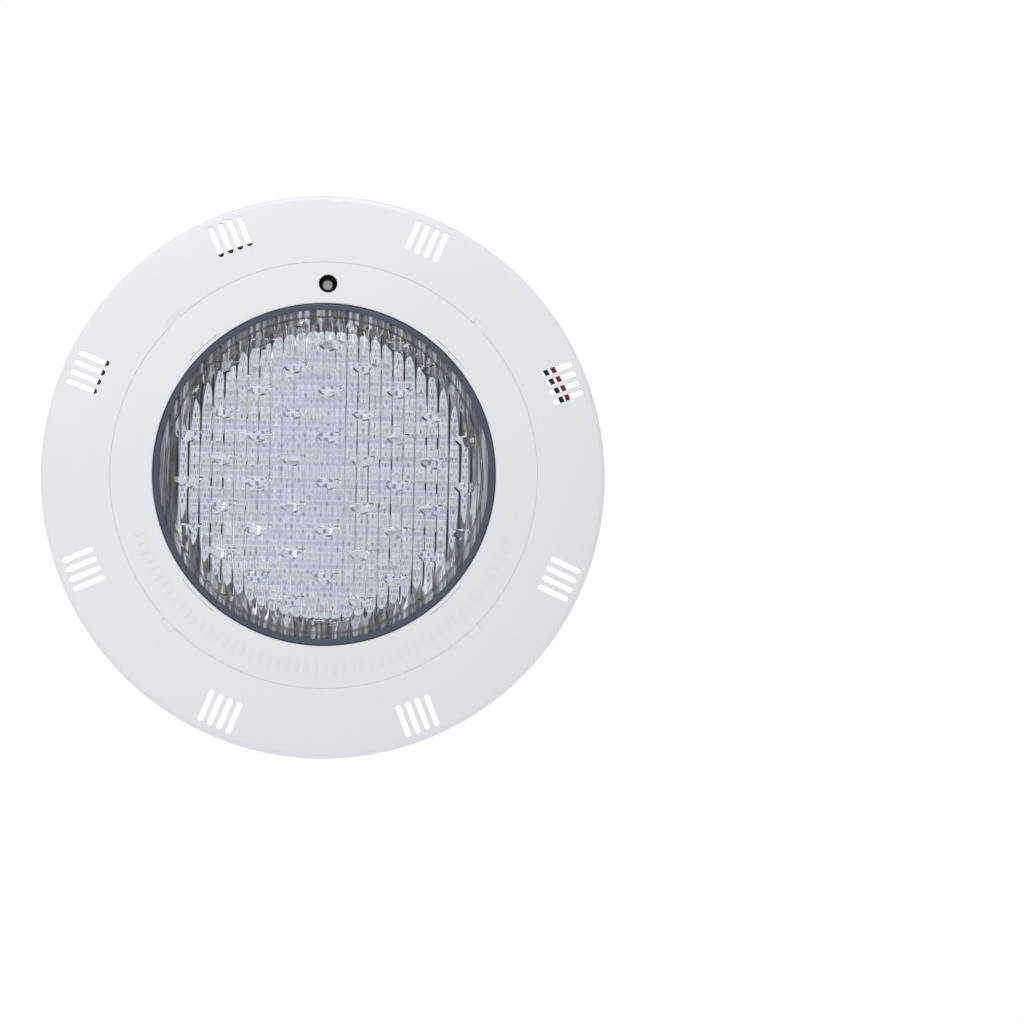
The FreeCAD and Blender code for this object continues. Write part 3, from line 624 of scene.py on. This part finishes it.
# ---- gasket keys, reflector film and bare strands ----
def make_gasket_keys():
    """Four short raised stretches of the gasket, at the diagonals."""
    mesh = bmesh.new()
    half_span = 3.7
    steps = 8
    rise = 0.14
    profile = [(87.35, 38.3), (87.35, 38.95), (87.7, 39.35), (88.2, 39.6), (88.8, 39.72), (89.4, 39.7),
               (89.8, 39.58), (90.1, 39.4), (90.35, 38.6)]
    for middle in DIAGONALS:
        last = None
        for step in range(steps + 1):
            angle = middle - half_span + 2 * half_span * step / steps
            now = [mesh.verts.new(polar(r, angle, d + rise)) for r, d in profile]
            if last:
                for i in range(len(profile) - 1):
                    mesh.faces.new((last[i], last[i + 1], now[i + 1], now[i]))
            if step in (0, steps):
                mesh.faces.new(now)
            last = now
    bmesh.ops.recalc_face_normals(mesh, faces=mesh.faces)
    mesh_piece("gasket_keys", mesh, SLATE, smooth=False)


def make_reflector_film():
    """Silvered film between the lens's side wall and the housing, seen through that wall; its colour carries
    painted reflection streaks.
    """
    mesh = bmesh.new()
    sides = 128
    inner = 83.4
    outer = 87.9
    back = 28.02
    front = 28.16
    last = None
    for radius, depth in ((inner, back), (inner, front), (outer, front), (outer, back)):
        now = [mesh.verts.new(polar(radius, 360.0 * side / sides, depth)) for side in range(sides)]
        if last:
            join_loops(mesh, last, now)
        else:
            first = now
        last = now
    join_loops(mesh, last, first)
    bmesh.ops.recalc_face_normals(mesh, faces=mesh.faces)
    mesh_piece("reflector_film", mesh, SILVER_WITH_PAINTED_REFLECTIONS, smooth=False)


def make_strands():
    """Bare copper strands at the far ends of the two cores."""
    mesh = bmesh.new()
    strand_r = 0.26
    bundle_r = 0.58             # six strands lie round a seventh
    sides = 8
    for route in (RED_ROUTE, DARK_ROUTE):
        end = polar(*route[-1])
        ahead = (end - polar(*route[-2])).normalized()
        across = ahead.cross(Vector((0, 1, 0))).normalized()
        other = ahead.cross(across)
        for number in range(7):
            swing = math.radians(60.0 * number)
            off = 0.0 if number == 6 else bundle_r * MM
            centre = end + (across * math.cos(swing) + other * math.sin(swing)) * off
            reach = (4.6 + 0.5 * math.sin(2.1 * number)) * MM
            lean = (centre - end) * 0.5
            last = None
            for share, drift in ((-0.3, 0.0), (0.5, 0.4), (1.0, 1.0)):
                middle = centre + ahead * reach * share + lean * drift
                now = []
                for side in range(sides):
                    turn = math.radians(360.0 * side / sides)
                    now.append(mesh.verts.new(middle + (across * math.cos(turn) + other * math.sin(turn))
                                              * strand_r * MM))
                if last:
                    join_loops(mesh, last, now)
                last = now
            mesh.faces.new(last)
    bmesh.ops.recalc_face_normals(mesh, faces=mesh.faces)
    mesh_piece("bare_strands", mesh, COPPER)


# ---- surroundings ----
def soft_light(name, place, aim, size, power):
    """Round area light that no glossy surface mirrors."""
    data = bpy.data.lights.new(name, "AREA")
    data.shape = "DISK"
    data.size = size
    data.energy = power
    light = bpy.data.objects.new(name, data)
    bpy.context.scene.collection.objects.link(light)
    light.location = place
    light.rotation_euler = (Vector(aim) - Vector(place)).to_track_quat("-Z", "Y").to_euler()
    light.visible_glossy = False


def make_world(seen, lighting):
    """White surroundings, brighter as a backdrop than as a light."""
    world = bpy.data.worlds.new("world")
    bpy.context.scene.world = world
    world.use_nodes = True
    tree = world.node_tree
    light = tree.nodes["Background"]
    light.inputs["Color"].default_value = (0.97, 0.98, 1.0, 1)
    light.inputs["Strength"].default_value = lighting
    backdrop = tree.nodes.new("ShaderNodeBackground")
    backdrop.inputs["Color"].default_value = (1, 1, 1, 1)
    backdrop.inputs["Strength"].default_value = seen
    path = tree.nodes.new("ShaderNodeLightPath")
    mix = tree.nodes.new("ShaderNodeMixShader")
    tree.links.new(path.outputs["Is Camera Ray"], mix.inputs[0])
    tree.links.new(light.outputs["Background"], mix.inputs[1])
    tree.links.new(backdrop.outputs["Background"], mix.inputs[2])
    tree.links.new(mix.outputs["Shader"], tree.nodes["World Output"].inputs["Surface"])


def make_studio():
    """Paper floor, white surroundings, a soft sun and two round lights."""
    bpy.ops.mesh.primitive_plane_add(size=7, location=(0, 0, -0.42))
    floor = bpy.context.object
    floor.name = "studio_floor"
    paper = moulded("floor_paper", (0.9, 0.9, 0.9), 0.8, 900.0, 0.02, 0.01)
    floor.data.materials.append(paper)
    make_world(1.0, 0.70)
    overhead = bpy.data.lights.new("overhead", "SUN")
    overhead.energy = 0.5
    overhead.angle = math.radians(30)
    lamp = bpy.data.objects.new("overhead", overhead)
    bpy.context.scene.collection.objects.link(lamp)
    soft_light("key", (-1.1, -1.5, 1.7), (0, 0, 0), 0.9, 16.5)
    soft_light("fill", (1.6, -1.2, 0.4), (0, 0, 0), 1.2, 2.0)
    bpy.context.scene.view_settings.view_transform = "Standard"


cable_points = [at(x, depth, LAMP_Z + v) for x, depth, v in CABLE_ROUTE]
cable_points += coil_points() + [polar(*place) for place in TAIL_ROUTE]
cable = nurbs_cord("supply_cable", cable_points, CABLE_D, SHEATH)
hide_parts("cable", "cable_coil", "cable_tail")
red = nurbs_cord("red_core", [polar(*place) for place in RED_ROUTE], CORE_D, RED)
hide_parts("core_red")
dark = nurbs_cord("dark_core", [polar(*place) for place in DARK_ROUTE], CORE_D, NAVY)
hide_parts("core_dark")

finish_cad_nodes()
make_lens()
make_leds()
make_pads()
make_gasket_keys()
make_reflector_film()
make_strands()
make_studio()
